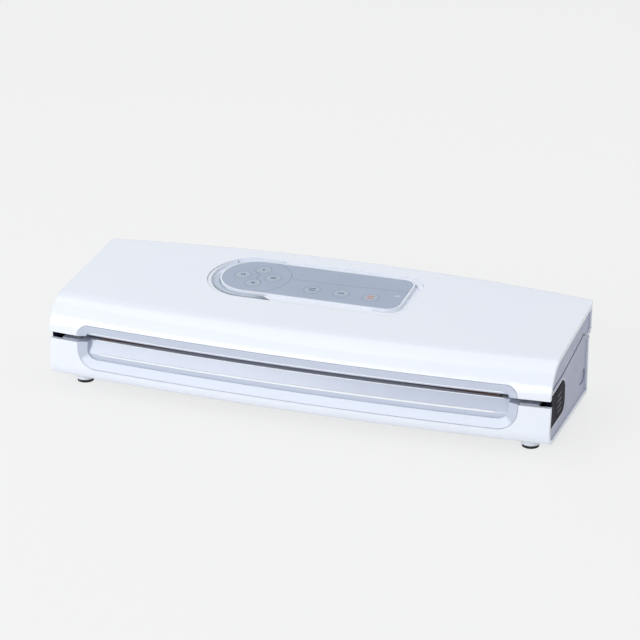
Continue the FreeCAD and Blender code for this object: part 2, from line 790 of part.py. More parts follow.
panelHole = moat("panelHole", size(0), -size(12), size(12))
lidRecess = frontPrism("lidRecess", size(0), recessTop, lidLip - 20, None, recessTopRound, yFront + 30)
notchGap = cell("hinge_notch_gap", 1.5)
notchTall = hingeZ + 2 - lidRear + 10
notchWide = hingeWide + notchGap * 2
notches = [box(f"hingeNotch{s}", s * hingeX, hingeY + 20, lidRear - 10, notchWide, 76, notchTall)
           for s in (-1, 1)]
node("lid_shell", cut("lid_shell", lidOuter, lidInner, lidRecess, panelHole, *notches))

trim = frontPrism("lid_front_trim", -fit, recessTop, lidLip - 20, None, recessTopRound, yFront + 40)
trimBack = yFront + 8
behind(trim, "trimBack", trimBack)
lidCurve = lidFront(size(0))[0]
turn(trim, outline(trim, "trimFlush", "YZ_Plane", lidCurve, bow=axisY), sweep, cut=True)
trimLow = [(-far * 2, -size(20)), (far, -size(20)), (far, lidLip), (-far * 2, lidLip)]
turn(trim, outline(trim, "trimFoot", "YZ_Plane", trimLow, bow=axisY), sweep, cut=True)
ringHigh = recessTop - ringWide + 0.8
lipRise = cell("recess_lip_rise", 0.8)
lidLeanRate = lidLean / (lidCorner - lidLip)


def lidFace(z):
    return yFront + 0.4 + lidLeanRate * (z - lidLip)


hollow = [(-far * 2, -size(10)), (lidFace(ringHigh) + ringDeep + 1, -size(10)),
          (lidFace(ringHigh) + ringDeep + 1, ringHigh), (-far * 2, ringHigh)]
turn(trim, outline(trim, "trimHollow", "YZ_Plane", hollow, bow=axisY), arcAngle(ringSide, yFront), cut=True)


def onLidFront(e):
    p = middle(e)
    y = axisY.value - math.sqrt((axisY.value - lidFace(size(p.z)).value) ** 2 - p.x ** 2)
    inside = abs(p.x) < ringSide.value + 1 and lidLip.value + 0.3 < p.z < ringHigh.value + 0.1
    return inside and abs(p.y - y) < 0.2


trimRound = least(recessTopRound - ringWide + 1, ringHigh - lidLip - 0.3)
soften(trim, "trimCorners", trimRound,
       lambda e: abs(abs(middle(e).x) - ringSide.value) < 2 and abs(middle(e).z - ringHigh.value) < 0.05)
soften(trim, "trimBevel", ringWide - ringLand - 0.8, onLidFront, ringDeep)
mouth = [(-far * 2, -size(10)), (far, -size(10)), (far, lidLip + lipRise), (-far * 2, lidLip + lipRise)]
turn(trim, outline(trim, "trimMouth", "YZ_Plane", mouth, bow=axisY), arcAngle(ringSide, yFront), cut=True)
node("lid_front_trim", trim)

linerThick = cell("liner_thickness", 2.5)
linerRearZ = cell("liner_rear_z", 58.5)
linerRear = shelfY - 1
linerHalf = panelIn - 2.5
linerLow = rearDeckY - 12
linerHigh = rearDeckY + 4
linerSection = [(-far, linerZ), (linerLow, linerZ), (linerHigh, linerRearZ), (linerRear, linerRearZ),
                (linerRear, linerRearZ + linerThick), (linerHigh - 1, linerRearZ + linerThick),
                (linerLow - 1, linerZ + linerThick), (-far, linerZ + linerThick)]
linerBlank = slab("linerBlank", linerSection, -linerHalf, linerHalf * 2)
ahead = [(-far * 2, -size(10)), (trimBack + 0.3, -size(10)), (trimBack + 0.3, far), (-far * 2, far)]
turn(linerBlank, outline(linerBlank, "linerFront", "YZ_Plane", ahead, bow=axisY), sweep, cut=True)
node("lid_liner", common("lid_liner", linerBlank, lidFit))

# Pressing strip and latch hooks under the liner
stripGap = cell("strip_gap", 0.6)
stripTall = cell("seal_strip_height", 3)
stripLow = tapeZ + tapeThick + stripGap
holderLow = stripLow + stripTall
node("strip_holder", box("strip_holder", 0, barY, holderLow, barHalf * 2, barWide - 1, linerZ - holderLow))
node("seal_strip", box("seal_strip", 0, barY, stripLow, barHalf * 2, barWide - 2, stripTall))
hookLow = cell("hook_sink", 1.4)
for word, side in ends:
    stem = box(f"hookStem_{word}", side * hookX, hookY, deckZ - hookLow, 3, 5, linerZ - deckZ + hookLow)
    barb = box(f"hookBarb_{word}", side * (hookX + 1.2), hookY, deckZ - hookLow, 4.4, 5, 2.6)
    node(f"latch_hook_{word}", fuse(f"latch_hook_{word}", stem, barb))

# Control panel
trayShape = fuse("traySolid", moat("trayBody", -fit, -trayDeep, -moatStep),
                 moat("trayFlange", size(4), -trayDeep, -wall - 0.4))
leftX = panelLeft + (panelBack - panelFront) / 2
leftY = (panelFront + panelBack) / 2
crescent = tilt("trayCrescent", leftX, leftY, -moatDeep, size(1), (panelBack - panelFront) / 2 + 7)
groove = tilted("trayGroove", panelRight - 20, panelRight + 4.6, panelFront - 2, panelBack - 2, -size(2.6),
                size(1), size(3), panelRound + 3)
plateau = plate("trayPlateau", size(0), -trayDeep, size(0.2))
seatPocket = plate("overlaySeat", overlayRim, size(0.2) - overlayThick, size(2))
boardLow = size(-11.6)
boardThick = size(1.6)
posts = [tilt(f"trayPost{i}", x, y, boardLow + boardThick, -trayDeep + 0.5, 2.5)
         for i, (x, y) in enumerate(((panelLeft + 4.5, leftY + 11), (panelLeft + 4.5, leftY - 11),
                                     (panelRight - 9, leftY + 15), (panelRight - 9, leftY - 15)))]
dish = cut("trayDish", trayShape, crescent, groove)
raised = fuse("trayRaised", dish, plateau, *posts)
node("panel_tray", cut("panel_tray", raised, seatPocket))
node("panel_overlay", plate("panel_overlay", overlayRim + fit, size(0.2) - overlayThick, size(0.2) - 0.1))
node("control_board", tilted("control_board", panelLeft + 1, panelRight - 1, panelFront + 2, panelBack - 2,
                             boardLow, boardLow + boardThick, size(4), size(4)))
keyRing = cell("key_ring_radius", 12)
keyRow = panelFront + cell("key_row_margin", 16.3)
dialX = leftX + cell("dial_offset", 2.5)
keySpots = [(dialX - keyRing, leftY), (dialX, leftY + keyRing)]
keySpots += [(dialX + keyRing, leftY), (dialX, leftY - keyRing)]
keySpots += [(size(x), keyRow) for x in (-11.7, 11.6, 34.9)]
keys = [tilt(f"keySwitch{i}", x, y, boardLow + boardThick, -trayDeep - 0.1, 3)
        for i, (x, y) in enumerate(keySpots)]
node("key_switches", group("key_switches", keys))

# Hinge: brackets on the rear deck, ears on the liner, pins in the ears
earThick = cell("hinge_ear_thickness", 4)
earGap = cell("hinge_ear_gap", 0.4)
brackets = []
ears = []
pins = []
footTop = rearDeckZ + 2.5
linerTop = linerRearZ + linerThick
for word, side in ends:
    x0 = side * hingeX - hingeWide / 2
    web = [(hingeY - 14, rearDeckZ), (hingeY - 4, rearDeckZ), (hingeY - 4, baseRear + 1),
           (hingeY + barrel * 0.8, hingeZ - 3), (hingeY - barrel * 0.8, hingeZ + 3), (hingeY - 10, footTop)]
    leg = slab(f"hingeLeg_{word}", web, x0, hingeWide)
    knuckle = rod(f"hingeKnuckle_{word}", x0, hingeY, hingeZ, barrel, hingeWide, V(1, 0, 0))
    sole = box(f"hingeSole_{word}", side * hingeX, hingeY - 15, rearDeckZ, hingeWide + 16, 20, 2.5)
    bore = rod(f"hingeBore_{word}", x0 - 1, hingeY, hingeZ, pinRadius + run, hingeWide + 2, V(1, 0, 0))
    brackets.append(cut(f"hingeBracket_{word}", fuse(f"hingeRaw_{word}", leg, knuckle, sole), bore))
    for sign in (-1, 1):
        mid = side * hingeX + sign * (hingeWide / 2 + earGap + earThick / 2)
        low = mid - earThick / 2
        tag = f"{word}{'Out' if sign > 0 else 'In'}"
        reach = [(linerRear - 14, linerTop), (linerRear, linerTop), (hingeY, hingeZ - barrel + 0.4),
                 (hingeY, hingeZ + barrel - 0.4), (hingeY - 12, hingeZ + barrel - 1)]
        arm = slab(f"earArm_{tag}", reach, low, earThick)
        eye = rod(f"earEye_{tag}", low, hingeY, hingeZ, barrel, earThick, V(1, 0, 0))
        hole = rod(f"earHole_{tag}", low - 1, hingeY, hingeZ, pinRadius, earThick + 2, V(1, 0, 0))
        ears.append(cut(f"ear_{tag}", fuse(f"earRaw_{tag}", arm, eye), hole))
    pinLong = hingeWide + (earGap + earThick) * 2
    pinX = side * hingeX - pinLong / 2
    pins.append(rod(f"pin_{word}", pinX, hingeY, hingeZ, pinRadius, pinLong, V(1, 0, 0)))
node("hinge_brackets", group("hinge_brackets", brackets))
node("hinge_ears", group("hinge_ears", ears))
node("hinge_pins", group("hinge_pins", pins))

# Vacuum pump, its motor and the hose from the chamber
floorTop = zFloor + wall
pumpX = cell("pump_x", 60)
spigot = cell("spigot_radius", 2.4)
hoseWall = cell("hose_wall", 1.2)
pumpY = yBack - cell("pump_rear_margin", 49)
pumpWide = cell("pump_width", 36)
pumpTall = cell("pump_height", 30)
motorRadius = cell("motor_radius", 12.5)
motorLong = cell("motor_length", 52)
cradleTall = cell("cradle_height", 3)
pumpLow = floorTop + cradleTall
motorZ = pumpLow + pumpTall / 2
motorX = pumpX + pumpWide / 2
cradle = box("cradlePlate", pumpX + motorLong / 2, pumpY, floorTop, pumpWide + motorLong, 34, cradleTall)
saddleTall = motorZ - motorRadius * 0.5 - pumpLow
saddleRaw = box("saddleRaw", motorX + motorLong * 0.6, pumpY, pumpLow - 0.5, 10, 28, saddleTall + 0.5)
saddleBore = rod("saddleBore", motorX, pumpY, motorZ, motorRadius, motorLong * 2, V(1, 0, 0))
node("pump_cradle", fuse("pump_cradle", cradle, cut("saddle", saddleRaw, saddleBore)))
head = box("pumpHead", pumpX, pumpY, pumpLow, pumpWide, 30, pumpTall)
hoseZ = floorTop + 6.5
port = rod("pumpPort", pumpX, pumpY - 15 - 8, hoseZ, spigot, size(9), V(0, 1, 0))
node("vacuum_pump", fuse("vacuum_pump", head, port))
can = rod("motorCan", motorX, pumpY, motorZ, motorRadius, motorLong, V(1, 0, 0))
hub = rod("motorHub", motorX + motorLong, pumpY, motorZ, 4, 4, V(1, 0, 0))
node("pump_motor", fuse("pump_motor", can, hub))
chamberUnder = deckZ - chamberDeep - deckThick
nozzleLow = chamberUnder - 4
nozzleBody = rod("nozzleBody", nozzleX, chamberMid, chamberUnder, size(4.1) - fit, deckThick + 0.5)
nozzleTube = rod("nozzleTube", nozzleX, chamberMid, nozzleLow, spigot, 5)
nozzleRim = rod("nozzleRim", nozzleX, chamberMid, deckZ - chamberDeep, 6, 1.2)
nozzleBore = rod("nozzleBore", nozzleX, chamberMid, nozzleLow - 1, spigot - 0.9, deckZ)
nozzleRaw = fuse("nozzleRaw", nozzleBody, nozzleTube, nozzleRim)
node("suction_nozzle", cut("suction_nozzle", nozzleRaw, nozzleBore))


def tubeRoute(points, radius):
    """Straight runs joined by one arc as large as the runs allow."""
    a, b, c = points
    u = (a - b).normalize()
    w = (c - b).normalize()
    reach = 0.45 * min((a - b).Length, (c - b).Length)
    start = b + u * reach
    end = b + w * reach
    bisector = (u + w).normalize()
    bend = math.acos(u.dot(w)) / 2
    centre = b + bisector * (reach / math.cos(bend))
    nearest = centre - bisector * (reach * math.tan(bend))
    path = Part.Wire([Part.LineSegment(a, start).toShape(), Part.Arc(start, nearest, end).toShape(),
                      Part.LineSegment(end, c).toShape()])
    section = Part.Wire([Part.Circle(a, u * -1, radius).toShape()])
    return path.makePipeShell([section], True, False)


hosePoints = [V(nozzleX.value, chamberMid.value, (chamberUnder - 0.3).value),
              V(nozzleX.value, chamberMid.value, hoseZ.value),
              V(pumpX.value, (pumpY - 17 - 0.3).value, hoseZ.value)]
bore = spigot.value + run.value
hose = doc.addObject("Part::Feature", "vacuum_hose")
hose.Shape = tubeRoute(hosePoints, bore + hoseWall.value).cut(tubeRoute(hosePoints, bore))
node("vacuum_hose", hose)

# Mains side: inlet, transformer, boards and switches
inletDeep = cell("inlet_depth", 20)
inletFace = yBow(yBaseBack, rearBow, inletX) - 0.4
inletRaw = box("inletRaw", inletX, inletFace - inletDeep / 2, inletZ - inletTall / 2 + fit,
               inletWide - fit * 2, inletDeep, inletTall - fit * 2)
socket = box("inletSocket", inletX, inletFace - 5, inletZ - 4.2, 16, 12, 8.4)
node("power_inlet", cut("power_inlet", inletRaw, socket))
pinSet = [rod(f"inletPin{s}", inletX + s * 4, inletFace - 11, inletZ, 1.2, 9, V(0, 1, 0)) for s in (-1, 1)]
node("inlet_pins", group("inlet_pins", pinSet))
transformerX = cell("transformer_x", -70)
transformerY = yBack - cell("transformer_rear_margin", 47)
coreWide = cell("transformer_core_width", 48)
coreTall = cell("transformer_core_height", 32)
stack = box("transformerStack", transformerX, transformerY, floorTop, coreWide, 24, coreTall)
coilWide = coreWide - 20
coilTall = coreTall - 12
winding = box("transformerWinding", transformerX, transformerY, floorTop + 6, coilWide, 40, coilTall)
node("transformer", fuse("transformer", stack, winding))
boardX = cell("power_board_x", 0)
boardY = yBack - cell("power_board_rear_margin", 45)
boardLift = cell("power_board_lift", 6)
boardWide = cell("power_board_width", 62)
boardLong = cell("power_board_depth", 46)
powerBoard = box("powerBoardPlate", boardX, boardY, floorTop + boardLift, boardWide, boardLong, boardThick)
postX = boardWide / 2 - 5
postY = boardLong / 2 - 5
boardPosts = [rod(f"boardPost{i}", boardX + sx * postX, boardY + sy * postY, floorTop, 2.5, boardLift)
              for i, (sx, sy) in enumerate(((-1, -1), (1, -1), (-1, 1), (1, 1)))]
node("board_posts", group("board_posts", boardPosts))
node("power_board", powerBoard)
boardTop = floorTop + boardLift + boardThick
caps = [rod(f"capacitor{i}", boardX + dx, boardY + 10, boardTop, 5, 14) for i, dx in enumerate((-18, -4))]
relay = box("relay", boardX + 16, boardY, boardTop, 16, 20, 15)
node("board_components", group("board_components", caps + [relay]))
switchY = boardY - 14
drum = rod("switchDrum", boardX, switchY, boardTop, 7, 9)
stem = rod("switchStem", boardX, switchY, boardTop, 1.8, 15)
node("pressure_switch", fuse("pressure_switch", drum, stem))
tripLong = cell("microswitch_length", 20)
tripDeep = cell("microswitch_depth", 6.5)
tripTall = cell("microswitch_height", 11)
tripY = chamberBack + deckThick + 1 + tripDeep / 2
trips = [box(f"microswitch{s}", s * (seatX - 8), tripY, deckUnder - tripTall, tripLong, tripDeep, tripTall)
         for s in (-1, 1)]
node("lid_microswitches", group("lid_microswitches", trips))

doc.recompute()
for obj in doc.Objects:
    if "Invalid" in obj.State or "Error" in obj.State:
        raise RuntimeError(f"{obj.Name} failed: {obj.State}")
for piece in nodes:
    if piece.Shape.isNull() or not piece.Shape.isValid() or not piece.Shape.Solids:
        raise RuntimeError(f"{piece.Label} has no sound shape")
os.makedirs("parts", exist_ok=True)
for piece in nodes:
    piece.Shape.exportStep(f"parts/{piece.Label}.step")
    print(piece.Label, len(piece.Shape.Solids), round(piece.Shape.Volume),
          piece.Shape.optimalBoundingBox(False))
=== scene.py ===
import math

import bmesh
import bpy
import numpy as np
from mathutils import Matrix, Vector


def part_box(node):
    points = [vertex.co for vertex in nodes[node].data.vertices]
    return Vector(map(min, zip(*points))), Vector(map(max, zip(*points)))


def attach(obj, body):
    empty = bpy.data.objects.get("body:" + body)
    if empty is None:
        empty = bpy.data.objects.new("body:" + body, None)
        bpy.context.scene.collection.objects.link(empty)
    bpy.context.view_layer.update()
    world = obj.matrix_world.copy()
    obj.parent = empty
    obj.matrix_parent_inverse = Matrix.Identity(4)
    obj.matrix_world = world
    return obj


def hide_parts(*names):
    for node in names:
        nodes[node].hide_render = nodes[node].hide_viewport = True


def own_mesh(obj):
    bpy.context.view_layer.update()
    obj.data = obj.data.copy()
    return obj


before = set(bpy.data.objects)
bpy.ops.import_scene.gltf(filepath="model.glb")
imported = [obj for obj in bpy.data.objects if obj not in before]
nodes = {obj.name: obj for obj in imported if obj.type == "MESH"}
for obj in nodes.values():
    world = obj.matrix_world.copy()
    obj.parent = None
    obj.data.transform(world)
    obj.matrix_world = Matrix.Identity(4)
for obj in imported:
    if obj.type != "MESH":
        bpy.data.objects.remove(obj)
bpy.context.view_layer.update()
mm = 0.001
bothEnds = (("left", -1), ("right", 1))  # the word in a name, and the sign of x there
print("frame loaded,", len(nodes), "nodes")


# Screen colour to light: near black it is divided by 12.92, above that it is a power of 2.4.
def linear(r, g, b):
    v = np.array([r, g, b]) / 255
    bright = ((v + 0.055) / 1.055) ** 2.4
    return (*np.where(v <= 0.04045, v / 12.92, bright).tolist(), 1.0)


def addNode(tree, kind, **values):
    made = tree.nodes.new("ShaderNode" + kind)
    for key, value in values.items():
        setattr(made, key, value)
    return made


# Cloudy noise over the piece, drawn out along the axes where stretch is below 1.
def noise(tree, scale, detail, stretch):
    coords = addNode(tree, "TexCoord")
    mapping = addNode(tree, "Mapping")
    mapping.inputs["Scale"].default_value = stretch
    tex = addNode(tree, "TexNoise")
    tex.inputs["Scale"].default_value = scale
    tex.inputs["Detail"].default_value = detail
    tree.links.new(coords.outputs["Object"], mapping.inputs["Vector"])
    tree.links.new(mapping.outputs["Vector"], tex.inputs["Vector"])
    return tex.outputs["Fac"]


# Open foam cells: the distance to the nearest of many scattered points.
def cells(tree, scale):
    coords = addNode(tree, "TexCoord")
    tex = addNode(tree, "TexVoronoi")
    tex.inputs["Scale"].default_value = scale
    tree.links.new(coords.outputs["Object"], tex.inputs["Vector"])
    return tex.outputs["Distance"]


# Plain over-and-under cloth: a sine along x times a sine along y, plus a half.
def weave(tree, pitch):
    coords = addNode(tree, "TexCoord")
    split = addNode(tree, "SeparateXYZ")
    tree.links.new(coords.outputs["Object"], split.inputs["Vector"])
    waves = []
    for axis in ("X", "Y"):
        scaled = addNode(tree, "Math", operation="MULTIPLY")
        scaled.inputs[1].default_value = math.pi / pitch
        wave = addNode(tree, "Math", operation="SINE")
        tree.links.new(split.outputs[axis], scaled.inputs[0])
        tree.links.new(scaled.outputs[0], wave.inputs[0])
        waves.append(wave.outputs[0])
    product = addNode(tree, "Math", operation="MULTIPLY_ADD")
    product.inputs[2].default_value = 0.5
    tree.links.new(waves[0], product.inputs[0])
    tree.links.new(waves[1], product.inputs[1])
    return product.outputs[0]


noiseMiddle = (0.3, 0.7)


# The middle of a noise mapped in a straight line to low and high.
def spread(tree, fac, low, high):
    ranged = addNode(tree, "MapRange")
    ranged.inputs["From Min"].default_value = noiseMiddle[0]
    ranged.inputs["From Max"].default_value = noiseMiddle[1]
    ranged.inputs["To Min"].default_value = low
    ranged.inputs["To Max"].default_value = high
    tree.links.new(fac, ranged.inputs["Value"])
    return ranged.outputs["Result"]


# What a look has where it doesn't say: scales of patches, smears and grain, and the edge's radius in mm.
plain = dict(metal=0.0, coat=0.0, sheen=0.0, shine=0.5, stretch=(1, 1, 1), patch=30, smear=90, grain=1500,
             edge=0.25, bump=0.05)
coatRough = 0.08
grainDepth = 0.1 * mm
detail = dict(tint=3, polish=4, grain=2)


# One finish: colour between dark and pale by patches, roughness by smears, grain as bump on soft edges.
def surface(name, look):
    look = {**plain, **look}
    mat = bpy.data.materials.new(name)
    mat.use_nodes = True
    tree = mat.node_tree
    shader = tree.nodes["Principled BSDF"]
    shader.inputs["Metallic"].default_value = look["metal"]
    shader.inputs["Coat Weight"].default_value = look["coat"]
    shader.inputs["Coat Roughness"].default_value = coatRough
    shader.inputs["Sheen Weight"].default_value = look["sheen"]
    shader.inputs["Specular IOR Level"].default_value = look["shine"]
    stretch = look["stretch"]
    if "weave" in look:
        tint = weave(tree, look["weave"])
        grain = tint
    elif "foam" in look:
        tint = noise(tree, look["patch"], detail["tint"], stretch)
        grain = cells(tree, look["foam"])
    else:
        tint = noise(tree, look["patch"], detail["tint"], stretch)
        grain = noise(tree, look["grain"], detail["grain"], stretch)
    mix = addNode(tree, "Mix", data_type="RGBA")
    mix.inputs[6].default_value = linear(*look["dark"])
    mix.inputs[7].default_value = linear(*look["pale"])
    tree.links.new(spread(tree, tint, 0, 1), mix.inputs["Factor"])
    tree.links.new(mix.outputs[2], shader.inputs["Base Color"])
    polish = noise(tree, look["smear"], detail["polish"], stretch)
    tree.links.new(spread(tree, polish, *look["rough"]), shader.inputs["Roughness"])
    edge = addNode(tree, "Bevel", samples=4)  # moulded edges are never knife sharp
    edge.inputs["Radius"].default_value = look["edge"] * mm
    bump = addNode(tree, "Bump")
    tree.links.new(edge.outputs["Normal"], bump.inputs["Normal"])
    bump.inputs["Strength"].default_value = look["bump"]
    bump.inputs["Distance"].default_value = grainDepth
    tree.links.new(grain, bump.inputs["Height"])
    tree.links.new(bump.outputs["Normal"], shader.inputs["Normal"])
    return mat


looks = {
    "shellWhite": dict(pale=(240, 245, 254), dark=(238, 243, 253), rough=(0.14, 0.18), patch=9, bump=0.01,
                       coat=0.3, edge=0.6),
    "trimGrey": dict(pale=(200, 208, 225), dark=(197, 205, 222), rough=(0.12, 0.17), patch=7, bump=0.02,
                     coat=0.4, edge=0.6),
    # painted highlight: near-white ribs along the front edges
    "ribPaintedHighlight": dict(pale=(246, 249, 253), dark=(241, 246, 252), rough=(0.08, 0.12), patch=9, bump=0.01,
                     coat=0.5),
    # painted highlight: a pale border round each button
    "borderHighlightPale": dict(pale=(214, 219, 230), dark=(206, 212, 224), rough=(0.2, 0.26), patch=20, bump=0.02,
                      coat=0.3),
    "endGrey": dict(pale=(177, 182, 204), dark=(170, 176, 199), rough=(0.34, 0.44), grain=2200, bump=0.12),
    "deckGrey": dict(pale=(176, 182, 196), dark=(168, 174, 189), rough=(0.34, 0.44), grain=2000, bump=0.1),
    "buttonBlack": dict(pale=(19, 21, 38), dark=(13, 14, 29), rough=(0.3, 0.4), grain=2200, bump=0.08,
                        edge=0.5, shine=0.012),
    "gripGrey": dict(pale=(62, 63, 73), dark=(52, 53, 62), rough=(0.3, 0.4), grain=2200, bump=0.08,
                     shine=0.2),
    "rubber": dict(pale=(28, 28, 29), dark=(19, 19, 20), rough=(0.62, 0.75), grain=1400, bump=0.2),
    "foam": dict(pale=(58, 59, 64), dark=(42, 43, 47), rough=(0.85, 0.95), foam=1500, bump=0.5, sheen=0.2),
    "silicone": dict(pale=(70, 70, 74), dark=(60, 60, 64), rough=(0.5, 0.6), grain=900, bump=0.06),
    "steel": dict(pale=(205, 206, 209), dark=(182, 183, 187), rough=(0.24, 0.36), metal=1.0, patch=60,
                  smear=140, stretch=(0.05, 1, 1), grain=900, bump=0.08),
    "resin": dict(pale=(52, 50, 50), dark=(42, 40, 41), rough=(0.45, 0.55), grain=1600, bump=0.12),
    "tape": dict(pale=(104, 74, 66), dark=(78, 55, 50), rough=(0.4, 0.5), weave=0.6 * mm, bump=0.4),
    "film": dict(pale=(170, 182, 204), dark=(164, 176, 198), rough=(0.36, 0.46), patch=20, grain=2600,
                 bump=0.08),
    "keyFilm": dict(pale=(177, 189, 205), dark=(170, 182, 199), rough=(0.34, 0.42), patch=60, grain=2600,
                    bump=0.06),
    "inkDark": dict(pale=(122, 133, 152), dark=(112, 123, 143), rough=(0.4, 0.5), patch=200),
    "inkNavy": dict(pale=(70, 78, 122), dark=(60, 68, 112), rough=(0.4, 0.5), patch=200),
    "inkOrange": dict(pale=(222, 140, 98), dark=(212, 128, 88), rough=(0.4, 0.5), patch=200),
    "inkWhite": dict(pale=(206, 214, 226), dark=(198, 206, 220), rough=(0.4, 0.5), patch=200),
    "board": dict(pale=(38, 104, 62), dark=(26, 84, 48), rough=(0.35, 0.5), patch=260, grain=700, bump=0.1),
}
mats = {name: surface(name, look) for name, look in looks.items()}
wear = {
    "shellWhite": ["base_shell", "lid_shell", "panel_tray", "latch_hook_left", "latch_hook_right"],
    "trimGrey": ["front_trough", "lid_front_trim"],
    "endGrey": ["base_end_panel_left", "base_end_panel_right", "lid_end_panel_left", "lid_end_panel_right",
                "end_screw_plugs"],
    "deckGrey": ["base_deck", "lid_liner", "strip_holder", "spring_seats", "vacuum_pump", "suction_nozzle"],
    "buttonBlack": ["release_button_left", "release_button_right", "power_inlet", "lid_microswitches",
                    "pressure_switch", "board_components", "board_posts", "key_switches"],
    "rubber": ["feet", "vacuum_hose"],
    "steel": ["hinge_pins", "hinge_brackets", "hinge_ears", "heating_strip", "inlet_pins", "pump_motor",
              "transformer", "pump_cradle"],
    "resin": ["seal_bar"],
    "tape": ["ptfe_tape"],
    "film": ["panel_overlay"],
    "board": ["control_board", "power_board"],
}
for look, names in wear.items():
    for name in names:
        nodes[name].data.materials.clear()
        nodes[name].data.materials.append(mats[look])
print("materials on", sum(len(names) for names in wear.values()), "nodes")


# Painted shade: the surface's colour, mixed towards a darker blue-grey by a per-point value on the piece, so
# that its edges and tip look shaded.
def paintedShadeSurface(name, look):
    mat = surface(name, look)
    tree = mat.node_tree
    shader = tree.nodes["Principled BSDF"]
    shadeAttribute = addNode(tree, "Attribute", attribute_name="paintedShadeDepth")
    mix = addNode(tree, "Mix", data_type="RGBA")
    mix.inputs[7].default_value = linear(*look["shadeEdgeColour"])
    tree.links.new(shader.inputs["Base Color"].links[0].from_socket, mix.inputs[6])
    tree.links.new(shadeAttribute.outputs["Fac"], mix.inputs["Factor"])
    tree.links.new(mix.outputs[2], shader.inputs["Base Color"])
    return mat


# painted shade: a blue-grey sheet standing for the shaded groove, darker towards its edges and tip
shadeBandLook = dict(pale=(186, 200, 219), dark=(178, 193, 213), rough=(0.06, 0.1), patch=40, bump=0.01,
                  coat=0.6, shadeEdgeColour=(62, 80, 108))
mats["shadeBandPaint"] = paintedShadeSurface("shadeBandPaint", shadeBandLook)
weldGap = 1e-7


def piece(name, points, faces, look, body):
    mesh = bpy.data.meshes.new(name)
    mesh.from_pydata(np.asarray(points).reshape(-1, 3).tolist(), [], faces)
    tidy = bmesh.new()
    tidy.from_mesh(mesh)
    bmesh.ops.remove_doubles(tidy, verts=tidy.verts, dist=weldGap)
    bmesh.ops.recalc_face_normals(tidy, faces=tidy.faces)
    tidy.to_mesh(mesh)
    tidy.free()
    mesh.shade_smooth()
    mesh.materials.append(mats[look])
    obj = bpy.data.objects.new(name, mesh)
    bpy.context.scene.collection.objects.link(obj)
    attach(obj, body)
    return obj


# Quads of a grid: each point with the next one in its row, and the same two in the next row.
def gridFaces(rows, columns, loopRows=False, loopColumns=False):
    i, j = np.meshgrid(np.arange(rows if loopRows else rows - 1),
                       np.arange(columns if loopColumns else columns - 1), indexing="ij")
    nextRow = (i + 1) % rows
    nextColumn = (j + 1) % columns
    quads = [i * columns + j, i * columns + nextColumn, nextRow * columns + nextColumn, nextRow * columns + j]
    return np.stack(quads, -1).reshape(-1, 4).tolist()


# A section carried along a path: the place, plus the section's width across and its height up.
def sweep(path, across, up, section):
    wide = section[None, :, :1] * across[:, None]
    tall = section[None, :, 1:] * up[:, None]
    return (path[:, None] + wide + tall).reshape(-1, 3)


# A crowned section: an ellipse whose sine and cosine are raised to a power, below 1 for squarer sides.
def cushioned(wide, tall, steps, power):
    turn = np.linspace(0, 2 * math.pi, steps, endpoint=False)
    c = np.cos(turn)
    s = np.sin(turn)
    side = np.sign(c) * np.abs(c) ** power * wide / 2
    rise = np.sign(s) * np.abs(s) ** power * tall / 2
    return np.stack([side, rise], 1)


# Size along a tube: 1, and 0 at its first and last ring, which shuts them.
def closedEnds(count):
    size = np.ones((count, 1))
    size[[0, -1]] = 0
    return size


# Directions along a line: from the point before to the point after, brought to length 1.
def heading(line):
    ahead = np.roll(line, -1, 0) - np.roll(line, 1, 0)
    return ahead / np.linalg.norm(ahead, axis=1)[:, None]


# A rounded rectangle: four quarter circles, each starting 90 degrees on from the one before.
def roundedLoop(halfX, y0, y1, radius, cornerSteps):
    a = np.radians(np.array([-90, 0, 90, 180])[:, None] + np.linspace(0, 90, cornerSteps + 1))
    x = (halfX - radius) * np.array([1, 1, -1, -1])[:, None]
    y = np.array([y0 + radius, y1 - radius, y1 - radius, y0 + radius])[:, None]
    return np.dstack([x + radius * np.cos(a), y + radius * np.sin(a)]).reshape(-1, 2)


gaskets = {
    "lower_gasket": dict(piece="lowerFoamGasket", body="base"),
    "upper_gasket": dict(piece="upperFoamGasket", body="lid"),
}
foam = dict(wide=5 * mm, slack=0.1 * mm, corner=11.3 * mm, cornerSteps=10, steps=24, power=0.55, fill=0.8)
for node, gasket in gaskets.items():
    low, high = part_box(node)
    inset = foam["wide"] / 2
    tall = high.z - low.z
    loop = roundedLoop(high.x - inset, low.y + inset, high.y - inset, foam["corner"], foam["cornerSteps"])
    count = len(loop)
    ahead = heading(loop)
    path = np.column_stack([loop, np.full(count, low.z + tall / 2)])
    across = np.column_stack([ahead[:, 1], -ahead[:, 0], np.zeros(count)])
    up = np.tile([0.0, 0.0, 1.0], (count, 1))
    section = cushioned(foam["wide"] - foam["slack"], tall, foam["steps"], foam["power"])
    faces = gridFaces(count, foam["steps"], True, True)
    points = sweep(path, across, up, section)
    ring = piece(gasket["piece"], points, faces, "foam", gasket["body"])
    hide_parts(node)

# The pressing strip is one crowned section along x, drawn in over the last millimetre at both ends.
strip = dict(inset=(0, 0, 0.4), size=(0, 0.86, 0.97), round=1 * mm, runs=24, steps=20, power=0.5, fill=0.9)
low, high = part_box("seal_strip")
middle = (low + high) / 2
inset = np.array(strip["inset"]) * mm
size = np.array(strip["size"])
run = np.linspace(low.x + strip["round"], high.x - strip["round"], strip["runs"])
x = np.concatenate([low.x + inset, run, high.x - inset[::-1]])[:, None]
grow = np.concatenate([size, np.ones(strip["runs"]), size[::-1]])[:, None]
section = cushioned(high.y - low.y, high.z - low.z, strip["steps"], strip["power"])
points = np.dstack([x + 0 * section[:, 0], middle.y + grow * section[:, 0], middle.z + grow * section[:, 1]])
presser = piece("pressingStrip", points, gridFaces(len(x), strip["steps"], False, True), "silicone", "lid")
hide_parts("seal_strip")
print("soft seals made")

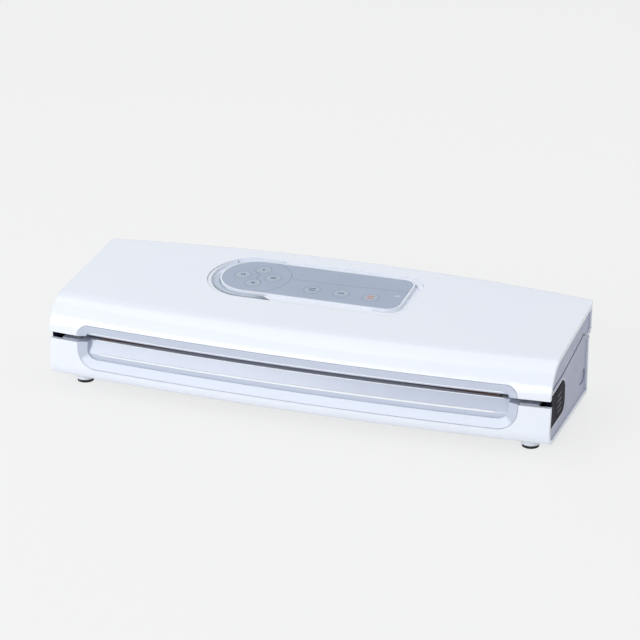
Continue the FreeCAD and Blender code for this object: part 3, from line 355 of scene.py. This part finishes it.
# A coil: the wire's place turns round x and moves along it, and stands still in the end turns.
spring = dict(turns=8, wire=0.45 * mm, radius=3.5 * mm, steps=26, round=10, flatEnds=1.12, travel=4 * mm)
for word, side in bothEnds:
    low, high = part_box(f"button_spring_{word}")
    seat = high.x if side < 0 else low.x
    long = high.x - low.x
    count = spring["turns"] * spring["steps"] + 1
    wire = spring["wire"]
    t = np.linspace(0, 1, count)
    a = t * spring["turns"] * 2 * math.pi
    gone = np.clip((t - 0.5) * spring["flatEnds"], -0.5, 0.5) + 0.5
    run = seat + side * (wire + gone * (long - 2 * wire))
    y0 = (low.y + high.y) / 2
    z0 = (low.z + high.z) / 2
    path = np.column_stack([run, y0 + spring["radius"] * np.cos(a), z0 + spring["radius"] * np.sin(a)])
    closed = closedEnds(count)
    across = np.column_stack([np.zeros(count), np.cos(a), np.sin(a)]) * closed
    up = np.tile([1.0, 0.0, 0.0], (count, 1)) * closed
    points = sweep(path, across, up, cushioned(2 * wire, 2 * wire, spring["round"], 1.0))
    faces = gridFaces(count, spring["round"], False, True)
    coil = piece(f"returnSpring_{word}", points, faces, "steel", "base")
    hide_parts(f"button_spring_{word}")
    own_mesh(coil)
print("springs wound")

topRise = 0.092  # the lid's top climbs by this much for each unit of y
film = nodes["panel_overlay"].data
spots = np.empty(len(film.vertices) * 3)
film.vertices.foreach_get("co", spots)
spots = spots.reshape(-1, 3)
filmTop = float((spots[:, 2] - topRise * spots[:, 1]).max())


# Plan points in mm laid on the film: its top at y = 0, plus the rise times y, plus the lift.
def onFilm(points, lift):
    p = np.asarray(points, float) * mm
    return np.column_stack([p, filmTop + topRise * p[:, 1] + lift * mm])


inkLift = 0.03


# A printed line: each point moved half the width to both sides, square to the line's direction.
def inkLine(name, points, wide, look, closed=False):
    p = np.asarray(points, float)
    if closed:
        ahead = heading(p)
    else:
        ahead = np.gradient(p, axis=0)
        ahead /= np.linalg.norm(ahead, axis=1)[:, None]
    side = np.column_stack([-ahead[:, 1], ahead[:, 0]]) * wide / 2
    both = np.stack([onFilm(p - side, inkLift), onFilm(p + side, inkLift)], 1)
    return piece(name, both, gridFaces(len(p), 2, closed), look, "lid")


# Part of a circle: the middle plus the radius times cosine and sine, from start to end in degrees.
def arc(x, y, radius, start, end, steps):
    a = np.radians(np.linspace(start, end, steps))
    return np.column_stack([x + radius * np.cos(a), y + radius * np.sin(a)])


# A Bezier curve of any order: its corners added up, each with its binomial share at t.
def curve(corners, steps):
    p = np.asarray(corners, float)
    t = np.linspace(0, 1, steps)[:, None]
    order = len(p) - 1
    return sum(math.comb(order, k) * t ** k * (1 - t) ** (order - k) * p[k] for k in range(order + 1))


panel = dict(line=0.34, keyRadius=6.2, keySteps=48, dome=0.22, domeInset=0.4, domeLift=0.02, domeRings=8,
             domeSteps=32, markLift=0.05)
dial = dict(x=-59, y=19.5, radius=25.4, start=84, end=-84, steps=72)
ringKeys = {"start": (-71.3, 19.3), "up": (-58.8, 30.9), "end": (-46.7, 19.7), "down": (-58.9, 8.2)}
rowKeys = {"seal": (-11.7, 9.5), "pulse": (11.5, 9.3), "stop": (34.9, 9.1)}
keys = {**ringKeys, **rowKeys}
bridge = [[(-64.6, 28), (-62.2, 25), (-59, 22.2)],
          [(-59, 22.2), (-57.7, 20.6), (-58.7, 18.8)],
          [(-58.7, 18.8), (-60.2, 16.6), (-58.4, 15.2)],
          [(-58.4, 15.2), (-55, 13), (-52.6, 9.6)]]
bridgeSteps = 12
shoulder = dict(bend=[(-34.6, 27.6), (-32, 21.6), (-24, 22)], steps=16, run=[(0, 23), (30, 24.2), (59, 25.3)])
inkLine("dialLine", arc(**dial), panel["line"], "inkDark")
bridgeLine = np.vstack([curve(bend, bridgeSteps)[:-1] for bend in bridge])
inkLine("dialBridge", bridgeLine, panel["line"], "inkDark")
shoulderLine = np.vstack([curve(shoulder["bend"], shoulder["steps"]), shoulder["run"]])
inkLine("panelLine", shoulderLine, panel["line"], "inkDark")
for name, (x, y) in keys.items():
    circle = arc(x, y, panel["keyRadius"], 0, 360, panel["keySteps"] + 1)[:-1]
    inkLine(f"keyLine_{name}", circle, panel["line"], "inkDark", True)
    # a dome: its height falls from the middle as one less the square of the radius, squared
    radii = np.linspace(0, panel["keyRadius"] - panel["domeInset"], panel["domeRings"])
    around = np.radians(np.linspace(0, 360, panel["domeSteps"], endpoint=False))
    r, a = np.meshgrid(radii, around, indexing="ij")
    lift = panel["domeLift"] + panel["dome"] * (1 - (r / radii[-1]) ** 2) ** 2
    plan = np.dstack([x + r * np.cos(a), y + r * np.sin(a)]).reshape(-1, 2)
    faces = gridFaces(panel["domeRings"], panel["domeSteps"], False, True)
    piece(f"keyDome_{name}", onFilm(plan, lift.reshape(-1)), faces, "keyFilm", "lid")

barPitch = 1.7
row = [(k * barPitch, 0, 1.2, 1.5) for k in (-1, 0, 1)]
twoRows = [(k * barPitch, y, 1.2, 1.5) for y in (-1.5, 1.5) for k in (-1, 0, 1)]
strokes = {
    "start": [(-1.2, 0, 0.8, 2.8), (0.1, 0.5, 0.8, 1.8), (1.3, 0, 0.8, 2.8)],
    "up": [(0, 0, 2.2, 0.8), (0, 0.9, 0.8, 1.0), (0, -0.9, 0.8, 1.0)],
    "end": [(-1.3, 0, 0.8, 2.8), (0, -0.5, 0.9, 1.8), (1.3, 0, 0.8, 2.8)],
    "down": [(-0.9, 0.5, 1.2, 1.3), (0.9, -0.2, 1.6, 1.3), (0, -1.0, 2.6, 0.6)],
    "seal": twoRows,
    "pulse": row,
    "stop": twoRows,
}
corner = np.array([(-0.5, -0.5), (0.5, -0.5), (0.5, 0.5), (-0.5, 0.5)])
for name, place in keys.items():
    bars = np.array(strokes[name])  # each bar's middle from the key's, then its width and height
    corners = place + bars[:, None, :2] + corner * bars[:, None, 2:]
    points = onFilm(corners.reshape(-1, 2), panel["dome"] + panel["markLift"])
    faces = np.arange(len(points)).reshape(-1, 4).tolist()
    piece(f"keyMark_{name}", points, faces, "inkOrange" if name == "stop" else "inkNavy", "lid")
filmMark = dict(points=[(50.5, 15.4), (56.5, 15.9), (54.6, 18.3), (52.6, 18.1)], lift=0.04)
piece("filmMark", onFilm(**filmMark), [(0, 1, 2, 3)], "inkWhite", "lid")
print("panel printed")

# The painted-shade band is a blue-grey sheet along the panel's left end, laid where the groove there is in
# shade; its colour darkens towards its edges and its tip as painted shade. Its inner edge is an arc and then
# a straight run on the panel's wall. Its outer edge is that line moved out by a width that opens, stays and
# closes to a point.
shadeBand = dict(x=-61.5, y=19.5, radius=26.5, start=163, end=270, tip=-37, wide=6.6, deep=2.1, lip=1.0,
              crown=0.3, bowSteps=48, runSteps=24, acrossSteps=17, gap=0.08, least=0.1, opensBy=0.45,
              closesFrom=0.86, stepRadius=33.2, stepSink=1.02, below=0.1)
paintedShadeShare = dict(edges=0.75, edgePower=4, tip=0.95, tipFrom=0.72, tipOver=0.24, tipPower=1.5)
turn = np.radians(np.linspace(shadeBand["start"], shadeBand["end"], shadeBand["bowSteps"]))
bow = np.column_stack([np.cos(turn), np.sin(turn)])
middle = np.array([shadeBand["x"], shadeBand["y"]])
run = np.linspace(shadeBand["x"], shadeBand["tip"], shadeBand["runSteps"] + 1)[1:]
straight = np.column_stack([run, np.full(len(run), shadeBand["y"] - shadeBand["radius"])])
inner = np.vstack([bow * shadeBand["radius"] + middle, straight])
outward = np.vstack([bow, np.tile([0.0, -1.0], (len(run), 1))])
gone = np.linspace(0, 1, len(inner))
across = np.linspace(0, 1, shadeBand["acrossSteps"])
opening = 1 - (1 - np.clip(gone / shadeBand["opensBy"], 0, 1)) ** 2
closing = np.clip((gone - shadeBand["closesFrom"]) / (1 - shadeBand["closesFrom"]), 0, 1)
near = shadeBand["gap"] + closing * (shadeBand["wide"] - shadeBand["least"])
far = shadeBand["least"] + opening * shadeBand["wide"]
reach = near[:, None] + across * (far - near)[:, None]
plan = inner[:, None] + outward[:, None] * reach[..., None]
sink = shadeBand["deep"] + (shadeBand["lip"] - shadeBand["deep"]) * np.clip(reach / shadeBand["wide"], 0, 1)
sink = sink - shadeBand["crown"] * 4 * across * (1 - across)
fromMiddle = np.hypot(plan[..., 0] - middle[0], plan[..., 1] - middle[1])
sink = np.where(fromMiddle > shadeBand["stepRadius"], np.minimum(sink, shadeBand["stepSink"]), sink)
height = filmTop + topRise * plan[..., 1] * mm - (shadeBand["below"] + sink) * mm
faces = gridFaces(len(inner), shadeBand["acrossSteps"])
band = piece("paintedShadeBand", np.dstack([plan * mm, height]), faces, "shadeBandPaint", "lid")
# painted shade: darker towards both long edges of the band and towards its tip
atEdges = paintedShadeShare["edges"] * np.abs(2 * across - 1) ** paintedShadeShare["edgePower"]
toTip = np.clip((gone - paintedShadeShare["tipFrom"]) / paintedShadeShare["tipOver"], 0, 1) ** paintedShadeShare["tipPower"]
shade = np.clip(atEdges + paintedShadeShare["tip"] * toTip[:, None], 0, 1)
shadeAttribute = band.data.attributes.new("paintedShadeDepth", "FLOAT", "POINT")
shadeAttribute.data.foreach_set("value", shade.reshape(-1))
print("window set")

frontBow = 2233


# The front seen from above: y plus the rise of an arc of one large circle at x.
def bowed(x, y):
    return y + frontBow - np.sqrt(frontBow ** 2 - np.square(x))


# Fine ribs along the front: a round section on the bowed line, closing at both ends as half balls. Their
# near-white colour is painted highlight along the trough's ridge, the trough's lip and the ring's lower edge.
beads = {
    "troughRib": dict(body="base", y=-69.75, z=31.15, half=155, wide=1.7),
    "lipRib": dict(body="base", y=-64.5, z=40.2, half=160, wide=0.8),
    "ringRib": dict(body="lid", y=-71.65, z=47.95, half=161, wide=0.8),
}
beadSteps = 97
beadRound = 14
for name, bead in beads.items():
    half = bead["half"]
    wide = bead["wide"]
    x = half * np.sin(np.linspace(-math.pi / 2, math.pi / 2, beadSteps))
    path = np.column_stack([x, bowed(x, bead["y"]), np.full(beadSteps, bead["z"])]) * mm
    fromEnd = np.clip((half - np.abs(x)) / wide, 0, 1)
    ends = np.sqrt(1 - np.square(1 - fromEnd))[:, None]
    across = np.tile([0.0, 1.0, 0.0], (beadSteps, 1)) * ends
    up = np.tile([0.0, 0.0, 1.0], (beadSteps, 1)) * ends
    points = sweep(path, across, up, cushioned(wide * mm, wide * mm, beadRound, 1.0))
    faces = gridFaces(beadSteps, beadRound, False, True)
    piece(name, points, faces, "ribPaintedHighlight", bead["body"])

# The ledge is a trim-grey sheet over the deck in the gap, lighter than the deck: painted light where the lid
# shades the deck. It is flat, from the bowed lip straight back to the tape.
ledge = dict(half=158, front=-64.3, back=-57.4, z=40.46, along=65, deep=5)
x, across = np.meshgrid(np.linspace(-ledge["half"], ledge["half"], ledge["along"]),
                        np.linspace(0, 1, ledge["deep"]), indexing="ij")
front = bowed(x, ledge["front"])
y = front + across * (ledge["back"] - front)
points = np.dstack([x, y, np.full_like(x, ledge["z"])]) * mm
faces = gridFaces(ledge["along"], ledge["deep"])
piece("paintedLightLedge", points, faces, "trimGrey", "base")
print("front ribs laid")

# A pale border round each button, painted highlight standing for the lit edge of the panel's opening: the
# outline of the button's face, moved out and carried by a flat section.
highlightRim = dict(gap=1.15, wide=1.5, proud=0.4, panelFace=194.0, steps=120, openTo=1.6, round=12, power=0.7,
             faceDepth=0.05)
for word, side in bothEnds:
    mesh = nodes[f"release_button_{word}"].data
    spots = np.empty(len(mesh.vertices) * 3)
    mesh.vertices.foreach_get("co", spots)
    spots = spots.reshape(-1, 3) / mm
    outer = np.abs(spots[:, 0])
    face = np.unique(np.round(spots[outer > outer.max() - highlightRim["faceDepth"]][:, 1:], 3), axis=0)
    middle = (face.min(0) + face.max(0)) / 2
    angle = np.arctan2(face[:, 1] - middle[1], face[:, 0] - middle[0])
    face = face[np.argsort(angle)]  # from the front, all round
    face = np.vstack([face, face[:1]])
    far = np.concatenate([[0], np.cumsum(np.linalg.norm(np.diff(face, axis=0), axis=1))])
    even = np.linspace(0, far[-1], highlightRim["steps"], endpoint=False)
    line = np.column_stack([np.interp(even, far, face[:, 0]), np.interp(even, far, face[:, 1])])
    ahead = heading(line)
    outward = np.column_stack([ahead[:, 1], -ahead[:, 0]])
    line = line + outward * highlightRim["gap"]
    shown = line[:, 0] > face[:, 0].min() + highlightRim["openTo"]  # the shell closes the front
    line = line[shown]
    outward = outward[shown]
    line = np.vstack([line[:1], line, line[-1:]])
    outward = np.vstack([outward[:1], outward, outward[-1:]])
    count = len(line)
    path = np.column_stack([np.full(count, side * highlightRim["panelFace"]), line]) * mm
    closed = closedEnds(count)
    across = np.column_stack([np.zeros(count), outward]) * closed
    up = np.tile([1.0, 0.0, 0.0], (count, 1)) * closed
    section = cushioned(highlightRim["wide"] * mm, 2 * highlightRim["proud"] * mm, highlightRim["round"], highlightRim["power"])
    faces = gridFaces(count, highlightRim["round"], False, True)
    piece(f"buttonPaintedHighlight_{word}", sweep(path, across, up, section), faces, "borderHighlightPale", "base")
print("button bezels laid")

# Grip ridges: half round across, with a sixth power along them that closes both ends.
grip = dict(ridges=4, pitch=4.2, long=15, shorter=2, wide=1.5, proud=0.36, sunk=0.02, y=-40, z=34.5, along=25,
            round=9, power=6)
for word, side in bothEnds:
    low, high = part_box(f"release_button_{word}")
    face = (high.x if side > 0 else -low.x) - grip["sunk"] * mm
    a, b = np.meshgrid(np.linspace(-1, 1, grip["along"]), np.linspace(-1, 1, grip["round"]), indexing="ij")
    taper = np.sqrt(1 - np.abs(a) ** grip["power"])
    rise = grip["proud"] * taper * np.sqrt(1 - b ** 2)
    for k in range(grip["ridges"]):
        fromMiddle = k - (grip["ridges"] - 1) / 2
        long = grip["long"] - abs(fromMiddle) * grip["shorter"]
        z = grip["z"] + fromMiddle * grip["pitch"]
        points = np.dstack([side * (face + rise * mm), (grip["y"] + a * long / 2) * mm,
                            (z + b * taper * grip["wide"] / 2) * mm])
        piece(f"gripRidge_{word}_{k + 1}", points, gridFaces(grip["along"], grip["round"]), "gripGrey",
              f"button_{word}")
print("button grips made")

head = dict(rings=14, spokes=48, tall=0.42, round=0.98, slotWide=0.13, slotLong=0.6, slotLeft=0.35)


# A pan head: a flat dome that falls with the fourth power of the radius, and is lower in a cross.
def screw(name, x, y, z, radius, body):
    r, a = np.meshgrid(radius * np.linspace(0, 1, head["rings"]),
                       np.linspace(0, 2 * math.pi, head["spokes"], endpoint=False), indexing="ij")
    u = r * np.cos(a)
    v = r * np.sin(a)
    rise = radius * head["tall"] * np.sqrt(np.maximum(0, 1 - head["round"] * (r / radius) ** 4))
    inSlot = np.minimum(np.abs(u), np.abs(v)) < head["slotWide"] * radius
    inReach = np.maximum(np.abs(u), np.abs(v)) < head["slotLong"] * radius
    rise = np.where(inSlot & inReach, head["slotLeft"] * rise, rise)
    points = np.dstack([x * mm + u, y * mm + v, z * mm - rise])  # all heads face down
    piece(name, points, gridFaces(head["rings"], head["spokes"], False, True), "steel", body)


baseScrews = dict(radius=2.6 * mm, z=9,
                  places=[(-120, -46), (0, -46), (120, -46), (-120, 46), (0, 46), (120, 46)])
for k, (x, y) in enumerate(baseScrews["places"]):
    screw(f"baseScrew_{k + 1}", x, y, baseScrews["z"], baseScrews["radius"], "base")
linerScrews = dict(radius=2.4 * mm,
                   places=[(-168, -30, 51.2), (168, -30, 51.2), (-60, 22, 58.5), (60, 22, 58.5)])
for k, (x, y, z) in enumerate(linerScrews["places"]):
    screw(f"linerScrew_{k + 1}", x, y, z, linerScrews["radius"], "lid")
print("screws set")


# 1 for rays from the camera, off a gloss or through a clear piece, and 0 for the rest: the largest of them.
def paperSeen(tree):
    rays = addNode(tree, "LightPath")
    seen = rays.outputs["Is Camera Ray"]
    for kind in ("Is Glossy Ray", "Is Transmission Ray"):
        either = addNode(tree, "Math", operation="MAXIMUM")
        tree.links.new(seen, either.inputs[0])
        tree.links.new(rays.outputs[kind], either.inputs[1])
        seen = either.outputs[0]
    return seen


paperWhite = linear(245, 245, 245)
studio = dict(half=5.0, paperShare=0.8, skyColour=(0.96, 0.98, 1.0, 1), skyStrength=0.54)
floorLook = dict(pale=(246, 246, 246), dark=(244, 244, 244), rough=(0.8, 0.9), patch=2)
floorMesh = bpy.data.meshes.new("floor")
half = studio["half"]
floorCorners = [(-half, -half, 0), (half, -half, 0), (half, half, 0), (-half, half, 0)]
floorMesh.from_pydata(floorCorners, [], [(0, 1, 2, 3)])
mats["floor"] = surface("floor", floorLook)
tree = mats["floor"].node_tree
paper = addNode(tree, "Emission")
paper.inputs["Color"].default_value = paperWhite
share = addNode(tree, "Math", operation="MULTIPLY")
share.inputs[1].default_value = studio["paperShare"]  # the rest keeps the object's shadow
join = addNode(tree, "MixShader")
tree.links.new(paperSeen(tree), share.inputs[0])
tree.links.new(share.outputs[0], join.inputs[0])
tree.links.new(tree.nodes["Principled BSDF"].outputs[0], join.inputs[1])
tree.links.new(paper.outputs[0], join.inputs[2])
tree.links.new(join.outputs[0], tree.nodes["Material Output"].inputs["Surface"])
floorMesh.materials.append(mats["floor"])
floor = bpy.data.objects.new("floor", floorMesh)
bpy.context.scene.collection.objects.link(floor)

softboxes = {
    "keyLight": dict(place=(-0.9, -2.25, 1.05), wide=2.0, tall=1.1, power=28),
    "topLight": dict(place=(-0.2, 0.3, 2.2), wide=2.4, tall=1.8, power=12.5),
}
lampAim = Vector((0, 0, 0.05))
for name, box in softboxes.items():
    lamp = bpy.data.lights.new(name, "AREA")
    lamp.shape = "RECTANGLE"
    lamp.size = box["wide"]
    lamp.size_y = box["tall"]
    lamp.energy = box["power"]
    stand = bpy.data.objects.new(name, lamp)
    stand.location = box["place"]
    stand.rotation_euler = (lampAim - Vector(box["place"])).to_track_quat("-Z", "Y").to_euler()
    bpy.context.scene.collection.objects.link(stand)

world = bpy.data.worlds.new("studio")
world.use_nodes = True
tree = world.node_tree
sky = tree.nodes["Background"]
sky.inputs["Color"].default_value = studio["skyColour"]
sky.inputs["Strength"].default_value = studio["skyStrength"]
paper = addNode(tree, "Background")
paper.inputs["Color"].default_value = paperWhite
join = addNode(tree, "MixShader")
tree.links.new(paperSeen(tree), join.inputs[0])
tree.links.new(sky.outputs[0], join.inputs[1])
tree.links.new(paper.outputs[0], join.inputs[2])
tree.links.new(join.outputs[0], tree.nodes["World Output"].inputs["Surface"])
bpy.context.scene.world = world
bpy.context.scene.view_settings.view_transform = "Standard"

view = dict(place=(0.6025, -1.6607, 0.7676), forward=(-0.31722, 0.87167, -0.37357), lens=142.83, sensor=36,
            near=0.05, far=50)
lens = bpy.data.cameras.new("camera")
lens.lens = view["lens"]
lens.sensor_width = view["sensor"]
lens.clip_start = view["near"]
lens.clip_end = view["far"]
camera = bpy.data.objects.new("camera", lens)
camera.location = view["place"]
camera.rotation_euler = Vector(view["forward"]).to_track_quat("-Z", "Y").to_euler()
bpy.context.scene.collection.objects.link(camera)
bpy.context.scene.camera = camera
print("studio ready")
